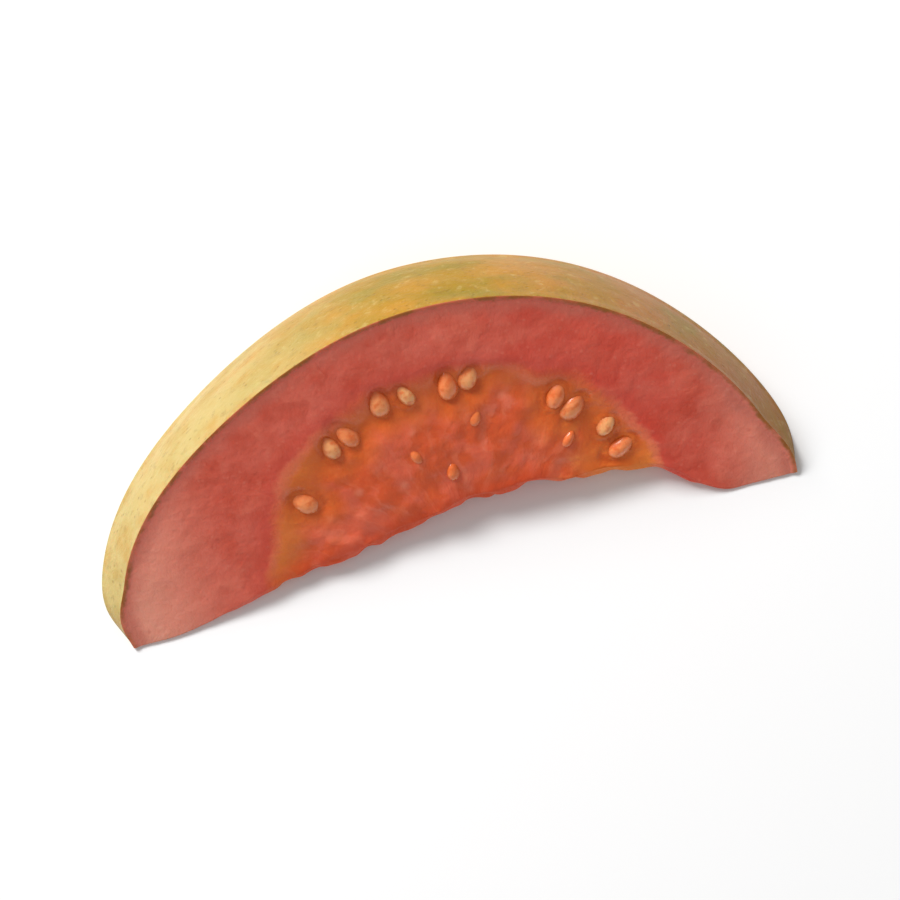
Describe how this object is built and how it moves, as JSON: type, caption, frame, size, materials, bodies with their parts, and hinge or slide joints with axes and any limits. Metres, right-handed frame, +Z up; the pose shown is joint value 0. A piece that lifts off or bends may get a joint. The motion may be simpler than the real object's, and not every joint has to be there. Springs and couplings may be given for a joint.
{
  "type": "guava slice",
  "caption": "Wedge of pink guava lying on a cut face: green-gold peel, rosy flesh, sunken orange pulp with hard seeds.",
  "frame": {"origin": "middle of the slice's bounding box, on the surface it lies on", "axes": "+X along the fruit's axis from the stem end to the blossom end, +Y from the core to the peel, +Z up out of the surface it lies on"},
  "size_m": [0.0744, 0.0316, 0.0176],
  "materials": {
    "guava_flesh": "moist cut fruit flesh, dusky pink, under a green-gold waxy peel",
    "guava_seed": "hard pale seeds with a wet sheen"
  },
  "bodies": {
    "root": {"guava_slice": "guava_flesh"}
  },
  "joints": []
}
